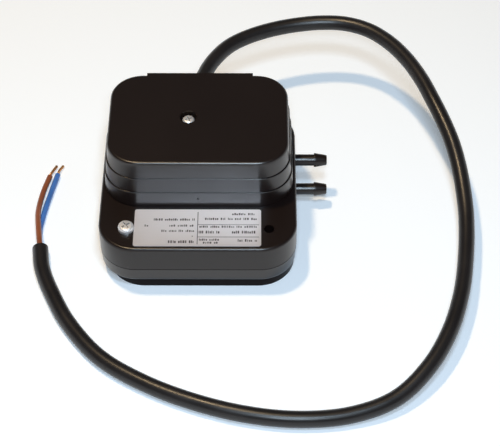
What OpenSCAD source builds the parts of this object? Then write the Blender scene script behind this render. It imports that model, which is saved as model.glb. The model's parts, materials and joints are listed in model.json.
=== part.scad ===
// Differential pressure switch for air, with two hose nozzles and a fixed two-core cable.
// Origin: centre of the base's underside. +X towards the hose nozzles, +Y towards the cable, +Z up.

/* [Base] */
// Width and depth of the square base
base_w = 85; // [84:0.5:90]
// Radius of the base's upright corners
base_r = 16; // [12:0.5:17]
// Height of the foot plinth
plinth_h = 5.5; // [5:0.1:7]
// Distance that the plinth stands in from the base's wall
plinth_inset = 2.1; // [1:0.1:3]
// Distance of the plinth's middle from the base's middle, towards the nozzles
plinth_x = 1.2; // [0:0.1:2]
// Height of the lower shell's wall above the plinth
lower_h = 7.7; // [7.4:0.1:9]
// Height of the upper shell's wall below the ledge
upper_h = 12.6; // [12.2:0.1:15]
// Rounding of the moulded edges
edge_r = 1.3; // [0.3:0.1:1.5]
// Height of the shadow line at each moulded joint
shadow_line = 0.35; // [0.2:0.05:0.5]

/* [Block] */
// Distance of the block's sides in from the base's sides
side_margin = 1.4; // [1:0.1:2.5]
// Distance of the block's back in from the base's back
rear_margin = 1.65; // [1.2:0.05:2.4]
// Distance of the block's front wall in front of the push pin
block_front = 17.65; // [17:0.05:18.5]
// Radius of the block's upright corners at its foot
block_r = 15; // [13:0.5:17]
// Height of the block's lowest tier
tier_h = 8.2; // [7.8:0.1:9]
// Height of the switch frame's tier
frame_h = 7.8; // [7.4:0.1:9]
// Height of the cover
cover_h = 8.9; // [8.6:0.1:10]
// Lean of the walls over one tier
draft = 0.4; // [0.2:0.1:0.6]
// Step in between two tiers at the sides
side_step = 0.5; // [0.2:0.1:0.8]
// Step in between two tiers at the front and back
front_step = 0.15; // [0.05:0.05:0.4]
// Wall thickness of the frame and the cover
wall = 2.2; // [1.8:0.1:2.6]
// Distance of the ends of the flat land on the cover's back from the block's sides
land_inset = 17.6; // [16:0.1:26]

/* [Fixings] */
// Distance of the corner holes in from the base's walls
hole_inset = 12; // [11.5:0.25:12.5]
// Diameter of the two mounting holes
mount_hole_d = 4.6; // [4:0.1:5]
// Thread diameter of the two housing screws
housing_screw_d = 3.5; // [3:0.1:4]
// Head diameter of the two housing screws
housing_head_d = 6.8; // [6:0.1:7]
// Thread diameter of the cover and frame screws
screw_d = 3; // [2.5:0.1:3.2]
// Head diameter of the cover and frame screws
head_d = 5.4; // [5:0.1:5.6]
// Thread diameter of the small bracket screws
small_screw_d = 2.5; // [2:0.1:2.6]
// Distance of the cover screw from the middle, along X
cover_screw_x = -4.4; // [-5:0.1:-4]
// Distance of the cover screw from the middle, along Y
cover_screw_y = 12.3; // [12:0.1:14]
// Diameter of the recess round the cover screw
recess_d = 7.5; // [7:0.1:8]
// Depth of the recess round the cover screw
recess_h = 3.2; // [3:0.1:4.4]

/* [Ports] */
// Bore through each hose nozzle
port_bore_d = 2.4; // [1.6:0.1:3]
// Diameter of a nozzle's shank
shank_d = 5.2; // [4.6:0.1:6]
// Length of a nozzle's shank outside the wall
shank_l = 8.5; // [7:0.5:10]
// Length of a nozzle's stub inside its socket
socket_l = 6; // [4:0.5:8]
// Largest diameter of a nozzle's barb
barb_d = 6.3; // [6.1:0.1:7]
// Length of a nozzle's barb
barb_l = 5.7; // [5:0.1:7]
// Diameter at a nozzle's tip
tip_d = 4.2; // [3.6:0.1:4.5]
// Distance of the low pressure nozzle behind the middle
low_port_y = 16.9; // [14:0.1:18]
// Height of the low pressure nozzle
low_port_z = 19.5; // [19:0.1:20]
// Distance of the high pressure nozzle behind the middle
high_port_y = 8.7; // [6:0.1:12]
// Height of the high pressure nozzle
high_port_z = 9.3; // [8.5:0.1:9.6]

/* [Label] */
// Distance of the rating plate's ends from the middles of the corner holes
label_end = 3.4; // [3.4:0.1:10]
// Part of the ledge's depth that the rating plate leaves free
label_free = 3.85; // [3.4:0.05:7]
// Thickness of the rating plate
label_t = 0.25; // [0.1:0.05:0.5]

/* [Diaphragm] */
// Distance of the diaphragm's rim in from the base's walls
rim_margin = 7; // [6.5:0.25:8]
// Width of the diaphragm's clamped rim
rim_grip = 4; // [3.5:0.25:4.5]
// Thickness of the diaphragm's clamped rim
rim_t = 0.8; // [0.6:0.1:1]
// Thickness of the diaphragm's membrane
membrane_t = 0.4; // [0.3:0.05:0.5]
// Width left for the membrane's roll between the plates and the chamber's wall
roll_space = 10.5; // [10:0.25:12]
// Thickness of each diaphragm plate
plate_t = 1; // [0.8:0.1:1.2]
// Diameter of the push pin
pin_d = 4; // [3.6:0.1:4.4]
// Lift of the diaphragm at full pressure
lift = 0.6; // [0.4:0.05:0.7]

/* [Mechanism] */
// Distance of the lever's pivot from the push pin
pivot_arm = 16; // [15:0.5:17]
// Distance of the switch plunger from the push pin
plunger_arm = 11.5; // [11:0.1:12]
// Thickness of the switch lever
lever_t = 1.2; // [1:0.1:1.4]
// Diameter of the lever's pivot pin
pivot_d = 2; // [1.6:0.1:2.2]
// Sheet thickness of the brackets
sheet_t = 1.2; // [1:0.1:1.3]
// Width of the microswitch
switch_w = 19.8; // [19:0.1:20.4]
// Height of the microswitch
switch_h = 10; // [9.6:0.1:10.2]
// Thickness of the microswitch
switch_t = 6.4; // [6:0.1:6.6]
// Diameter of the setting knob's scale disc
knob_d = 13.6; // [12:0.2:13.8]
// Diameter of the setting knob's threaded stem
thread_d = 5.2; // [4.6:0.1:5.4]
// Mean diameter of the measuring spring
spring_d = 8.4; // [7.6:0.1:8.8]
// Wire diameter of the measuring spring
wire_d = 0.7; // [0.5:0.05:0.8]

/* [Cable] */
// Diameter of the cable's jacket
cable_d = 7; // [6.6:0.1:7]
// Length of the cable boot outside the wall
boot_l = 9.6; // [8:0.2:10]
// Diameter of one insulated core
core_d = 2.5; // [2.2:0.1:2.5]
// Diameter of the stripped strands
strand_d = 1.3; // [1:0.1:1.4]

/* [Hidden] */
$fn = 64;

// Clearances: a shaft in its bore, two parts that pass each other, a cut past a face
fit = 0.05;
gap = 0.3;
past = 0.5;

// Depth of the shadow lines and height of the lap behind them
shadow_in = 0.6;
shadow_lap = 1;

// Heights of the joints between the mouldings
seam_z = plinth_h + lower_h;
ledge_z = seam_z + upper_h;
frame_z = ledge_z + tier_h;
cover_z = frame_z + frame_h;
top_z = cover_z + cover_h;

// Block: its size follows the base, and its front wall keeps its distance from the push pin
block_w = base_w - 2 * side_margin;
rear_y = base_w / 2 - rear_margin;
block_d = rear_y + block_front;
block_y = rear_y - block_d / 2;
land_w = block_w - 2 * land_inset;

// Diaphragm and its chambers follow the base
rim_d = base_w - 2 * rim_margin;
chamber_d = rim_d - 2 * rim_grip;
plate_d = chamber_d - 2 * roll_space;

// Air chambers, the floor between chamber and switch room, and the stop under the diaphragm
lower_floor_t = 3.2;
upper_floor_t = 3.2;
chamber_top = ledge_z - upper_floor_t;
membrane_z = seam_z - rim_t;
rivet_t = 1;
rivet_d = 6.8;
rivet_z = membrane_z - plate_t - rivet_t;
stop_d = 8;

// Switch room inside the block: the same straight walls in the lowest tier and in the frame
room_w = block_w - 2 * (2 * draft + side_step + wall);
room_d = block_d - 2 * (2 * draft + front_step + wall);
room_r = block_r - wall;

// Wall size of tier 0, 1 or 2 at its foot
function tier_w(i) = block_w - 2 * i * (draft + side_step);
function tier_d(i) = block_d - 2 * i * (draft + front_step);
function tier_r(i) = block_r - i * draft;

// Posts, lugs and screw lengths
corner = base_w / 2 - hole_inset;
post_d = 7.2;
boss_z = top_z - recess_h - 1.8;
frame_lug_x = room_w / 2 - 3.2;
frame_lug_y = block_y + 8;
frame_lug_t = 2.4;
pan_h = 2.4;
head_h = 2.1;
small_head_h = 1.6;
small_head_d = 4.4;
screw_l = 10;
small_screw_l = 4;

// Push pin, its guide and the lever on top of it
guide_d = 9;
guide_below = 2.2;
guide_above = 1.8;
seal_d = 6;
seal_t = 1.4;
lever_z = ledge_z + guide_above + 2.1;
pin_top = lever_z - gap;
pivot_z = lever_z + lever_t / 2;
hub_d = 4;
hub_l = 9.8;
pad_d = 10.6;
arm_w = 5;
lever_top = lever_z + lever_t;

// Setting gear: spring, seat, knob and the bridge that carries them
bridge_z = cover_z - 1;
bridge_w = 11;
bridge_in = 12.8;
knob_z = bridge_z + sheet_t + gap;
clip_t = 0.8;
seat_t = 2;
seat_z = bridge_z - 2 * gap - clip_t - seat_t;
seat_w = bridge_in - 4 * gap + past;
collar_d = 7;
knob_top = top_z - wall - 2 * gap;
spring_turns = 5;

// Microswitch and its bracket
switch_x = 7.6;
switch_z = lever_top + 2.3;
plunger_d = 2.4;
plunger_in = 2.8;
switch_hole_x = [switch_x + 0.394 * switch_w, switch_x + 0.874 * switch_w];
switch_hole_z = switch_z + 2.7;
blade_x = [for (share = [0.14, 0.5, 0.86]) switch_x + share * switch_w];
blade_h = 3.4;
foot_l = 7.2;

// Cable outlet
outlet_x = -1;
clamp_y = rear_y - 10.65;
clamp_d = 6;
cable_in_y = clamp_y - clamp_d / 2 - 3.2;
neck_d = cable_d + 2.2;
flange_step = 1.1;
clamp_w = 22;
clamp_pitch = 16;
clamp_top = frame_z + cable_d / 2 + 1.6;

// Centreline of the jacket from the outlet: across, back, and share of the outlet's height
// above the floor on which the cable comes to lie
cable_path = [
    [0, -16.85, 1], [0, -2.85, 1], [0.5, 9.15, 1], [3, 19.15, 1], [7.5, 28.65, 1], [14, 37.15, 1],
    [23, 43.65, 1], [34, 48.65, 1], [45.5, 51.65, 1.007], [57, 52.65, 1.023], [68.5, 51.15, 1.043],
    [79, 46.15, 1.056], [88, 37.65, 1.056], [95.5, 26.65, 1.043], [101.5, 14.15, 1.013],
    [106, 2.15, 0.957], [110, -8.35, 0.872], [113.5, -18.35, 0.764], [116, -28.85, 0.636],
    [117.5, -40.85, 0.511], [118, -54.85, 0.403], [116.5, -73.35, 0.321], [113, -93.85, 0.279],
    [106.5, -113.85, 0.233], [96.5, -131.35, 0.161], [82.5, -144.85, 0.062], [64, -151.85, 0.007],
    [43, -153.85, 0], [21.5, -151.35, 0], [-0.5, -144.85, 0], [-21, -135.35, 0], [-39, -122.85, 0],
    [-53, -105.35, 0], [-62, -87.85, 0], [-67, -74.85, 0], [-69, -62.85, 0]
];
cable_route = [for (q = cable_path) [
    outlet_x + q[0], rear_y + q[1], cable_d / 2 + q[2] * (frame_z - cable_d / 2)
]];
// Centrelines of the two cores and of their stripped tips from the middle of the jacket's cut end,
// with their heights above the floor
brown_path = [
    [0, 0, 4.8], [-1, 6, 4.8], [-2, 13, 4.3], [-3, 21, 3], [-3, 28, 1.8],
    [-2, 37, 1.3], [0, 46, 1.3]
];
blue_path = [
    [0, 0, 2.2], [-1, 6, 2.2], [-1.5, 13, 1.4], [-1, 19, 1.3], [0, 27, 1.3],
    [1.5, 36, 1.3], [3.5, 47, 1.3]
];
brown_tip_path = [[0, 46, 1.3], [0.5, 48.2, 1.2], [2.5, 53, 0.8]];
blue_tip_path = [[3.5, 47, 1.3], [4, 49.7, 1.2], [5.5, 53, 0.8]];
function from_end(path) = [for (q = path)
    [cable_route[len(cable_route) - 1][0] + q[0], cable_route[len(cable_route) - 1][1] + q[1], q[2]]];
// Centreline of a lead from the cable's inner end to a terminal, by shares of the way
lead_end_y = 1.5;
lead_rise = core_d / 2 + 0.15;
brown_shares = [[0, 0, 0], [0.15, 0.18, 0.2], [0.4, 0.45, 0.7], [0.72, 0.77, 1], [1, 1, 1]];
blue_shares = [[0, 0, 0], [0.25, 0.15, 0.12], [0.58, 0.41, 0.55], [0.86, 0.72, 0.95], [1, 1, 1]];
function lead_route(x, z, shares) = concat([[outlet_x, cable_in_y, z]], [for (q = shares) [
    outlet_x + q[0] * (x - outlet_x),
    cable_in_y - lead_rise + q[1] * (lead_end_y - cable_in_y + lead_rise),
    z + q[2] * (switch_z + switch_h + 0.68 * blade_h - z)
]]);

// Rounded rectangle plate, with square edges
module round_plate(w, d, r, h) {
    linear_extrude(h) {
        square([w - 2 * r, d], center = true);
        square([w, d - 2 * r], center = true);
        for (x = [-1, 1], y = [-1, 1]) {
            translate([x * (w / 2 - r), y * (d / 2 - r)]) circle(r);
        }
    }
}

// Section of a moulded wall from its foot to its rounded top edge, reaching from the axis
function wall_section(reach, h, lean, top_r) = concat(
    [[0, 0], [reach, 0]],
    [for (a = [0 : 22.5 : 90]) [reach - lean - top_r + top_r * cos(a), h - top_r + top_r * sin(a)]],
    [[0, h]]
);

// Moulded slab: walls that lean in, round upright corners and a rounded top edge
module moulded_slab(w, d, r, h, lean, top_r) {
    for (q = [0 : 3]) {
        mirror([q % 2, 0, 0]) mirror([0, floor(q / 2), 0])
            translate([w / 2 - r, d / 2 - r, 0])
                rotate_extrude(angle = 90) polygon(wall_section(r, h, lean, top_r));
    }
    for (q = [0, 1]) {
        mirror([q, 0, 0]) rotate([90, 0, 0])
            linear_extrude(d - 2 * r, center = true)
                polygon(wall_section(w / 2, h, lean, top_r));
        mirror([0, q, 0]) rotate([90, 0, 90])
            linear_extrude(w - 2 * r, center = true)
                polygon(wall_section(d / 2, h, lean, top_r));
    }
}

// Pan head with a cross recess, seated at z = 0, with its thread below
module pan_screw(head, head_height, thread, length) {
    difference() {
        rotate_extrude() polygon(concat(
            [[0, 0], [head / 2, 0], [head / 2, head_height * 0.45]],
            [for (a = [15 : 15 : 75])
                [head * (0.3 + 0.2 * cos(a)), head_height * (0.45 + 0.55 * sin(a))]],
            [[0, head_height]]
        ));
        for (a = [0, 90]) {
            rotate(a) translate([-head * 0.29, -head * 0.055, head_height * 0.45])
                cube([head * 0.58, head * 0.11, head_height]);
        }
    }
    translate([0, 0, -length]) cylinder(d = thread, h = length);
}

// Hose nozzle along +X: stub, shank, barb with a short land and a tip with a soft edge
module nozzle(y, z) {
    tip_r = 0.5;
    land_l = 0.5;
    bore_r = port_bore_d / 2;
    color("#2a2624") translate([base_w / 2, y, z]) rotate([0, 90, 0]) rotate_extrude() polygon([
        [bore_r, -socket_l], [shank_d / 2 - 0.3, -socket_l], [shank_d / 2, -socket_l + 0.3],
        [shank_d / 2, shank_l], [barb_d / 2, shank_l], [barb_d / 2, shank_l + land_l],
        [tip_d / 2 + tip_r / 2, shank_l + barb_l - tip_r],
        [tip_d / 2 + tip_r / 4, shank_l + barb_l - tip_r / 4],
        [tip_d / 2 - tip_r / 4, shank_l + barb_l], [bore_r, shank_l + barb_l]
    ]);
}

// Socket of a nozzle in the wall, and the air way from its floor into the chamber
module nozzle_socket(y, z) {
    reach = sqrt(pow(chamber_d / 2, 2) - y * y) - 1;
    translate([reach, y, z]) rotate([0, 90, 0])
        cylinder(d = port_bore_d, h = base_w / 2 - reach);
    translate([base_w / 2 - socket_l, y, z]) rotate([0, 90, 0])
        cylinder(d = shank_d + 2 * fit, h = socket_l + past);
}

// Two holes on one diagonal of the base: side 1 is front right and back left
module diagonal(side) {
    for (s = [-1, 1]) {
        translate([s * corner, -side * s * corner, 0]) children();
    }
}

module lower_shell() {
    plinth_w = base_w - 2 * plinth_inset;
    relief_in = 4;
    relief_h = 0.6;
    rib_w = 2;
    color("#2a2624") difference() {
        union() {
            translate([0, 0, seam_z - shadow_line]) mirror([0, 0, 1])
                moulded_slab(base_w, base_w, base_r, lower_h - shadow_line, draft, edge_r);
            translate([0, 0, seam_z - shadow_lap])
                round_plate(base_w - 2 * shadow_in, base_w - 2 * shadow_in, base_r - shadow_in,
                    shadow_lap);
            translate([plinth_x, 0, 0])
                round_plate(plinth_w, plinth_w, base_r, plinth_h + edge_r + past);
        }
        translate([0, 0, membrane_z]) cylinder(d = rim_d, h = rim_t + past);
        difference() {
            translate([0, 0, lower_floor_t]) cylinder(d = chamber_d, h = seam_z);
            cylinder(d = stop_d, h = rivet_z - gap);
        }
        nozzle_socket(high_port_y, high_port_z);
        diagonal(1) translate([0, 0, -past]) cylinder(d = mount_hole_d, h = seam_z + 2 * past);
        diagonal(-1) translate([0, 0, 4]) cylinder(d = housing_screw_d, h = seam_z);
        // Sink marks are kept off the foot by a shallow relief between rim, pads and middle
        difference() {
            translate([plinth_x, 0, -past])
                round_plate(plinth_w - 2 * relief_in, plinth_w - 2 * relief_in,
                    base_r - relief_in, past + relief_h);
            cylinder_between(chamber_d * 0.38, -2 * past, relief_h + past);
            for (a = [0 : 90 : 270]) {
                rotate(a) translate([-rib_w / 2, 0, -past])
                    cube([rib_w, base_w / 2, relief_h + 2 * past]);
                rotate(a) translate([corner, corner, 0])
                    cylinder_between(hole_inset - 1, -2 * past, relief_h + past);
            }
        }
    }
}

module upper_shell() {
    color("#2a2624") difference() {
        union() {
            translate([0, 0, seam_z]) moulded_slab(base_w, base_w, base_r, upper_h, 0, edge_r);
            difference() {
                translate([0, block_y, ledge_z])
                    moulded_slab(tier_w(0), tier_d(0), tier_r(0), tier_h, draft, shadow_line);
                translate([0, block_y, ledge_z])
                    round_plate(room_w, room_d, room_r, tier_h + past);
            }
            translate([cover_screw_x, cover_screw_y, ledge_z])
                cylinder(d = post_d, h = boss_z - ledge_z);
            cylinder_between(guide_d, chamber_top - guide_below, ledge_z + guide_above);
            for (s = [-1, 1]) {
                translate([s * frame_lug_x, frame_lug_y, ledge_z]) cylinder(d = post_d, h = tier_h);
                translate([s * (frame_lug_x + 2) - 2, frame_lug_y - 2, ledge_z])
                    cube([4, 4, tier_h]);
            }
            translate([outlet_x - clamp_w / 2, clamp_y - clamp_d / 2, ledge_z])
                cube([clamp_w, clamp_d, tier_h - 0.5]);
        }
        difference() {
            translate([0, 0, seam_z - past])
                cylinder(d = chamber_d, h = chamber_top - seam_z + past);
            cylinder_between(guide_d, chamber_top - guide_below, chamber_top + past);
        }
        cylinder_between(pin_d + 2 * fit, seam_z, frame_z);
        cylinder_between(seal_d, ledge_z + guide_above - seal_t, frame_z);
        nozzle_socket(low_port_y, low_port_z);
        diagonal(1) cylinder_between(mount_hole_d, seam_z - past, ledge_z + past);
        diagonal(-1) cylinder_between(housing_screw_d + 0.3, seam_z - past, ledge_z + past);
        translate([cover_screw_x, cover_screw_y, 0])
            cylinder_between(screw_d, top_z - recess_h - screw_l - 1, top_z);
        for (s = [-1, 1]) {
            translate([s * frame_lug_x, frame_lug_y, 0])
                cylinder_between(screw_d, frame_z + frame_lug_t - screw_l, frame_z + past);
            translate([outlet_x + s * clamp_pitch / 2, clamp_y, 0])
                cylinder_between(small_screw_d, ledge_z, frame_z);
        }
        bracket_holes(ledge_z - small_screw_l + sheet_t);
        outlet(cable_in_y, rear_y - past - 6, cable_d);
        outlet(rear_y - 8, rear_y + past, neck_d + 2 * fit);
        outlet(rear_y - 9, rear_y - draft - wall - 0.4, neck_d + 2.2);
        // Gate mark of the moulding in the middle of the front wall
        translate([0, block_y - block_d / 2 - past, ledge_z + 4.8]) rotate([-90, 0, 0])
            cylinder(d = 0.9, h = 1.6);
    }
}

// Round bar on the Z axis between two heights
module cylinder_between(d, low, high) {
    translate([0, 0, low]) cylinder(d = d, h = high - low);
}

// Round cut for the cable and its boot, along Y at the joint under the frame
module outlet(y0, y1, d) {
    translate([outlet_x, y0, frame_z]) rotate([-90, 0, 0]) cylinder(d = d, h = y1 - y0);
}

module switch_frame() {
    color("#2a2624") difference() {
        union() {
            difference() {
                union() {
                    translate([0, block_y, frame_z + shadow_line])
                        moulded_slab(tier_w(1), tier_d(1), tier_r(1), frame_h - shadow_line,
                            draft, shadow_line);
                    translate([0, block_y, frame_z])
                        round_plate(tier_w(1) - 2 * shadow_in, tier_d(1) - 2 * shadow_in,
                            tier_r(1) - shadow_in, shadow_lap);
                }
                translate([0, block_y, frame_z - past])
                    round_plate(room_w, room_d, room_r, frame_h + 2 * past);
            }
            for (s = [-1, 1]) {
                translate([s * frame_lug_x, frame_lug_y, frame_z])
                    cylinder(d = post_d, h = frame_lug_t);
                translate([s * (frame_lug_x + 2) - 2, frame_lug_y - 3, frame_z])
                    cube([4, 6, frame_lug_t]);
            }
        }
        translate([0, block_y, cover_z - 0.8]) round_plate(room_w + 2, room_d + 2, room_r + 1, 2);
        for (s = [-1, 1]) {
            translate([s * frame_lug_x, frame_lug_y, 0])
                cylinder_between(screw_d + 0.3, frame_z - past, frame_z + frame_lug_t + past);
        }
        outlet(rear_y - 8, rear_y + past, neck_d + 2 * fit);
        outlet(rear_y - 9, rear_y - draft - wall - 0.4, neck_d + 2.2);
    }
}

module cover() {
    color("#2a2624") difference() {
        union() {
            translate([0, block_y, cover_z + shadow_line])
                moulded_slab(tier_w(2), tier_d(2), tier_r(2), cover_h - shadow_line,
                    draft, edge_r);
            translate([0, block_y, cover_z])
                round_plate(tier_w(2) - 2 * shadow_in, tier_d(2) - 2 * shadow_in,
                    tier_r(2) - shadow_in, shadow_lap);
            translate([0, block_y, cover_z - 2])
                round_plate(room_w - gap, room_d - gap, room_r - gap / 2, 3);
            translate([-land_w / 2, rear_y - 4, cover_z + shadow_line])
                cube([land_w, 4 - 2 * draft - front_step + 0.4, cover_h - shadow_line]);
        }
        difference() {
            translate([0, block_y, cover_z - 2 - past])
                round_plate(room_w - 2.4 - gap, room_d - 2.4 - gap, room_r - 1.2 - gap / 2,
                    2 + past + cover_h - wall);
            translate([cover_screw_x, cover_screw_y, 0])
                cylinder_between(recess_d + 2.6, boss_z, top_z);
        }
        translate([cover_screw_x, cover_screw_y, 0]) {
            cylinder_between(recess_d, top_z - recess_h, top_z + past);
            cylinder_between(screw_d + 0.4, boss_z - past, top_z);
        }
    }
}

module cover_gasket() {
    color("#1c1c1c") translate([0, block_y, cover_z - 0.8]) difference() {
        round_plate(room_w + 2, room_d + 2, room_r + 1, 0.8);
        translate([0, 0, -past]) round_plate(room_w, room_d, room_r, 2);
    }
}

module cover_screw() {
    color("#c9c7c2") translate([cover_screw_x, cover_screw_y, top_z - recess_h]) rotate(20)
        pan_screw(head_d, head_h, screw_d, screw_l);
}

module housing_screws() {
    color("#c9c7c2") diagonal(-1) translate([0, 0, ledge_z]) rotate(35)
        pan_screw(housing_head_d, pan_h, housing_screw_d, ledge_z - 5);
}

module frame_screws() {
    color("#c9c7c2") for (s = [-1, 1]) {
        translate([s * frame_lug_x, frame_lug_y, frame_z + frame_lug_t]) rotate(50)
            pan_screw(head_d, head_h, screw_d, screw_l);
    }
}

module low_nozzle() {
    nozzle(low_port_y, low_port_z);
}

module high_nozzle() {
    nozzle(high_port_y, high_port_z);
}

module rating_plate() {
    ledge_d = base_w / 2 - block_front;
    color("#cbc1c3") translate([0, 0.1 - block_front - ledge_d / 2, ledge_z])
        round_plate(2 * (corner - label_end), ledge_d - label_free, 1, label_t);
}

// Half circle roll of the membrane, from the inner to the outer foot
function roll(mid, r, z) = [for (a = [180 : -15 : 0]) [mid + r * cos(a), z + r * sin(a)]];
roll_mid = (plate_d / 2 + 1 + chamber_d / 2 - 0.5) / 2;
roll_r = (chamber_d / 2 - 0.5 - plate_d / 2 - 1) / 2;

module diaphragm() {
    reversed = roll(roll_mid, roll_r - membrane_t, membrane_z);
    color("#8c4a3c") rotate_extrude() polygon(concat(
        [[pin_d / 2 + fit, membrane_z], [pin_d / 2 + fit, membrane_z + membrane_t]],
        roll(roll_mid, roll_r, membrane_z + membrane_t),
        [[chamber_d / 2, seam_z], [rim_d / 2 - fit, seam_z], [rim_d / 2 - fit, membrane_z]],
        [for (i = [len(reversed) - 1 : -1 : 0]) reversed[i]]
    ));
}

module upper_plate() {
    color("#b8bcc0") translate([0, 0, membrane_z + membrane_t]) difference() {
        union() {
            cylinder(d = plate_d, h = plate_t);
            cylinder(d = 10, h = plate_t + 1.2);
        }
        translate([0, 0, -past]) cylinder(d = pin_d, h = 5);
        for (a = [0 : 60 : 300]) {
            rotate(a) translate([plate_d * 0.32, 0, -past]) cylinder(d = plate_d / 7, h = 5);
        }
    }
}

module lower_plate() {
    color("#b8bcc0") translate([0, 0, membrane_z - plate_t]) difference() {
        cylinder(d = plate_d - 2, h = plate_t);
        translate([0, 0, -past]) cylinder(d = pin_d, h = 5);
    }
}

module push_pin() {
    color("#d8d4c8") {
        cylinder_between(rivet_d, rivet_z, rivet_z + rivet_t);
        rotate_extrude() polygon([
            [0, rivet_z], [pin_d / 2, rivet_z], [pin_d / 2, pin_top - 0.8],
            [pin_d / 2 - 0.4, pin_top - 0.3], [pin_d / 4, pin_top], [0, pin_top]
        ]);
    }
}

module pin_seal() {
    color("#1c1c1c") translate([0, 0, ledge_z + guide_above - seal_t]) difference() {
        cylinder(d = seal_d, h = seal_t);
        translate([0, 0, -past]) cylinder(d = pin_d + 2 * fit, h = 3);
    }
}

module lever_bracket() {
    ear_in = hub_l / 2 + gap;
    ear_w = 3.5 * pivot_d;
    tail = 0.69 * pivot_arm;
    color("#b9bdc1") difference() {
        union() {
            translate([-pivot_arm - tail, -ear_in - sheet_t, ledge_z])
                cube([tail + ear_w / 2 + 1, 2 * (ear_in + sheet_t), sheet_t]);
            for (s = [-1, 1]) {
                translate([-pivot_arm, s * (ear_in + sheet_t / 2), 0]) {
                    translate([-ear_w / 2, -sheet_t / 2, ledge_z])
                        cube([ear_w, sheet_t, pivot_z - ledge_z]);
                    translate([0, 0, pivot_z]) rotate([90, 0, 0])
                        cylinder(d = ear_w, h = sheet_t, center = true);
                }
            }
        }
        translate([-pivot_arm, 0, pivot_z]) rotate([90, 0, 0])
            cylinder(d = pivot_d, h = room_d, center = true);
        bracket_holes(ledge_z - past);
    }
}

module pivot_pin() {
    color("#c9c7c2") translate([-pivot_arm, 0, pivot_z]) rotate([90, 0, 0])
        cylinder(d = pivot_d, h = hub_l + 2 * gap + 2 * sheet_t + 1, center = true);
}

module switch_lever() {
    color("#c4a35a") difference() {
        union() {
            translate([-pivot_arm, -3.5, lever_z]) cube([pivot_arm, 7, lever_t]);
            translate([0, 0, lever_z]) cylinder(d = pad_d, h = lever_t);
            translate([0, -arm_w / 2, lever_z]) cube([plunger_arm + 2, arm_w, lever_t]);
            translate([-pivot_arm, 0, pivot_z]) rotate([90, 0, 0])
                cylinder(d = hub_d, h = hub_l, center = true);
        }
        translate([-pivot_arm, 0, pivot_z]) rotate([90, 0, 0])
            cylinder(d = pivot_d + 2 * fit, h = room_d, center = true);
    }
}

// Unit vector, and the tube's cross axes at a tangent
function unit(v) = v / norm(v);
function side_of(t) = unit(cross(t, [0, 0, 1]));
function ring(p, t, r, n) = [for (k = [0 : n - 1])
    p + r * (cos(360 * k / n) * side_of(t) + sin(360 * k / n) * cross(side_of(t), t))];

// Tube swept along its route's own points; the end faces stand square to the first and last leg
module swept_tube(p, d, n) {
    last = len(p) - 1;
    rings = [for (i = [0 : last])
        ring(p[i], unit(p[min(i + 1, last)] - p[max(i - 1, 0)]), d / 2, n)];
    walls = [for (i = [0 : last - 1], k = [0 : n - 1])
        [i * n + k, (i + 1) * n + k, (i + 1) * n + (k + 1) % n, i * n + (k + 1) % n]];
    ends = [
        [for (k = [0 : n - 1]) k],
        [for (k = [n - 1 : -1 : 0]) last * n + k]
    ];
    polyhedron([for (r = rings, q = r) q], concat(walls, ends), convexity = 6);
}

// Compression spring: flat end turns and open turns between them
function spring_height(u, length) = u < 1 ? u * wire_d : u > spring_turns - 1
    ? length - (spring_turns - u) * wire_d
    : wire_d + (u - 1) * (length - 2 * wire_d) / (spring_turns - 2);

module measuring_spring() {
    low = lever_top + gap + wire_d / 2;
    length = seat_z - gap - wire_d / 2 - low;
    color("#c9c7c2") swept_tube([for (u = [0 : 1 / 14 : spring_turns])
        [spring_d / 2 * cos(360 * u), spring_d / 2 * sin(360 * u),
            low + spring_height(u, length)]], wire_d, 8);
}

module spring_seat() {
    color("#c8a24a") translate([0, 0, seat_z]) difference() {
        translate([gap - bridge_w / 2, -seat_w / 2, 0]) cube([bridge_w - 2 * gap, seat_w, seat_t]);
        translate([0, 0, -past]) cylinder(d = thread_d + 2 * fit, h = seat_t + 2 * past);
    }
}

module setting_knob() {
    color("#e6e2d6") difference() {
        union() {
            cylinder_between(knob_d, knob_z, knob_z + 1.5);
            cylinder_between(knob_d - 4.4, knob_z + 1.4, knob_top);
            cylinder_between(collar_d, bridge_z - gap, knob_z + 0.1);
            cylinder_between(thread_d, lever_top + 2.2, bridge_z);
        }
        for (a = [0 : 30 : 330]) {
            rotate(a) translate([knob_d / 2 - 1.7, 0, knob_z + 2.2]) cylinder(d = 1.6, h = 10);
        }
        translate([-3.4, -0.6, knob_top - 1.5]) cube([6.8, 1.2, 3]);
        translate([-knob_d / 2, -0.3, knob_z + 1]) cube([2, 0.6, 1]);
    }
}

module knob_clip() {
    color("#c9c7c2") translate([0, 0, bridge_z - gap - clip_t]) difference() {
        cylinder(d = 9.4, h = clip_t);
        translate([0, 0, -past]) cylinder(d = thread_d, h = clip_t + 2 * past);
        translate([2, -1.2, -past]) cube([5, 2.4, clip_t + 2 * past]);
    }
}

module setting_bridge() {
    color("#b9bdc1") difference() {
        union() {
            translate([-bridge_w / 2, -bridge_in / 2 - sheet_t, bridge_z])
                cube([bridge_w, bridge_in + 2 * sheet_t, sheet_t]);
            for (s = [-1, 1]) {
                translate([-bridge_w / 2, s * (bridge_in + sheet_t) / 2 - sheet_t / 2, ledge_z])
                    cube([bridge_w, sheet_t, bridge_z - ledge_z + sheet_t]);
            }
            translate([-bridge_w / 2, -bridge_in / 2 - sheet_t - 5.6, ledge_z])
                cube([bridge_w, 6, sheet_t]);
            translate([0.6, bridge_in / 2 + 0.4, ledge_z])
                cube([bridge_w / 2 - 0.6, sheet_t + 5.2, sheet_t]);
        }
        cylinder_between(collar_d + 2 * fit, bridge_z - past, knob_z);
        bracket_holes(ledge_z - past);
    }
}

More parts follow.
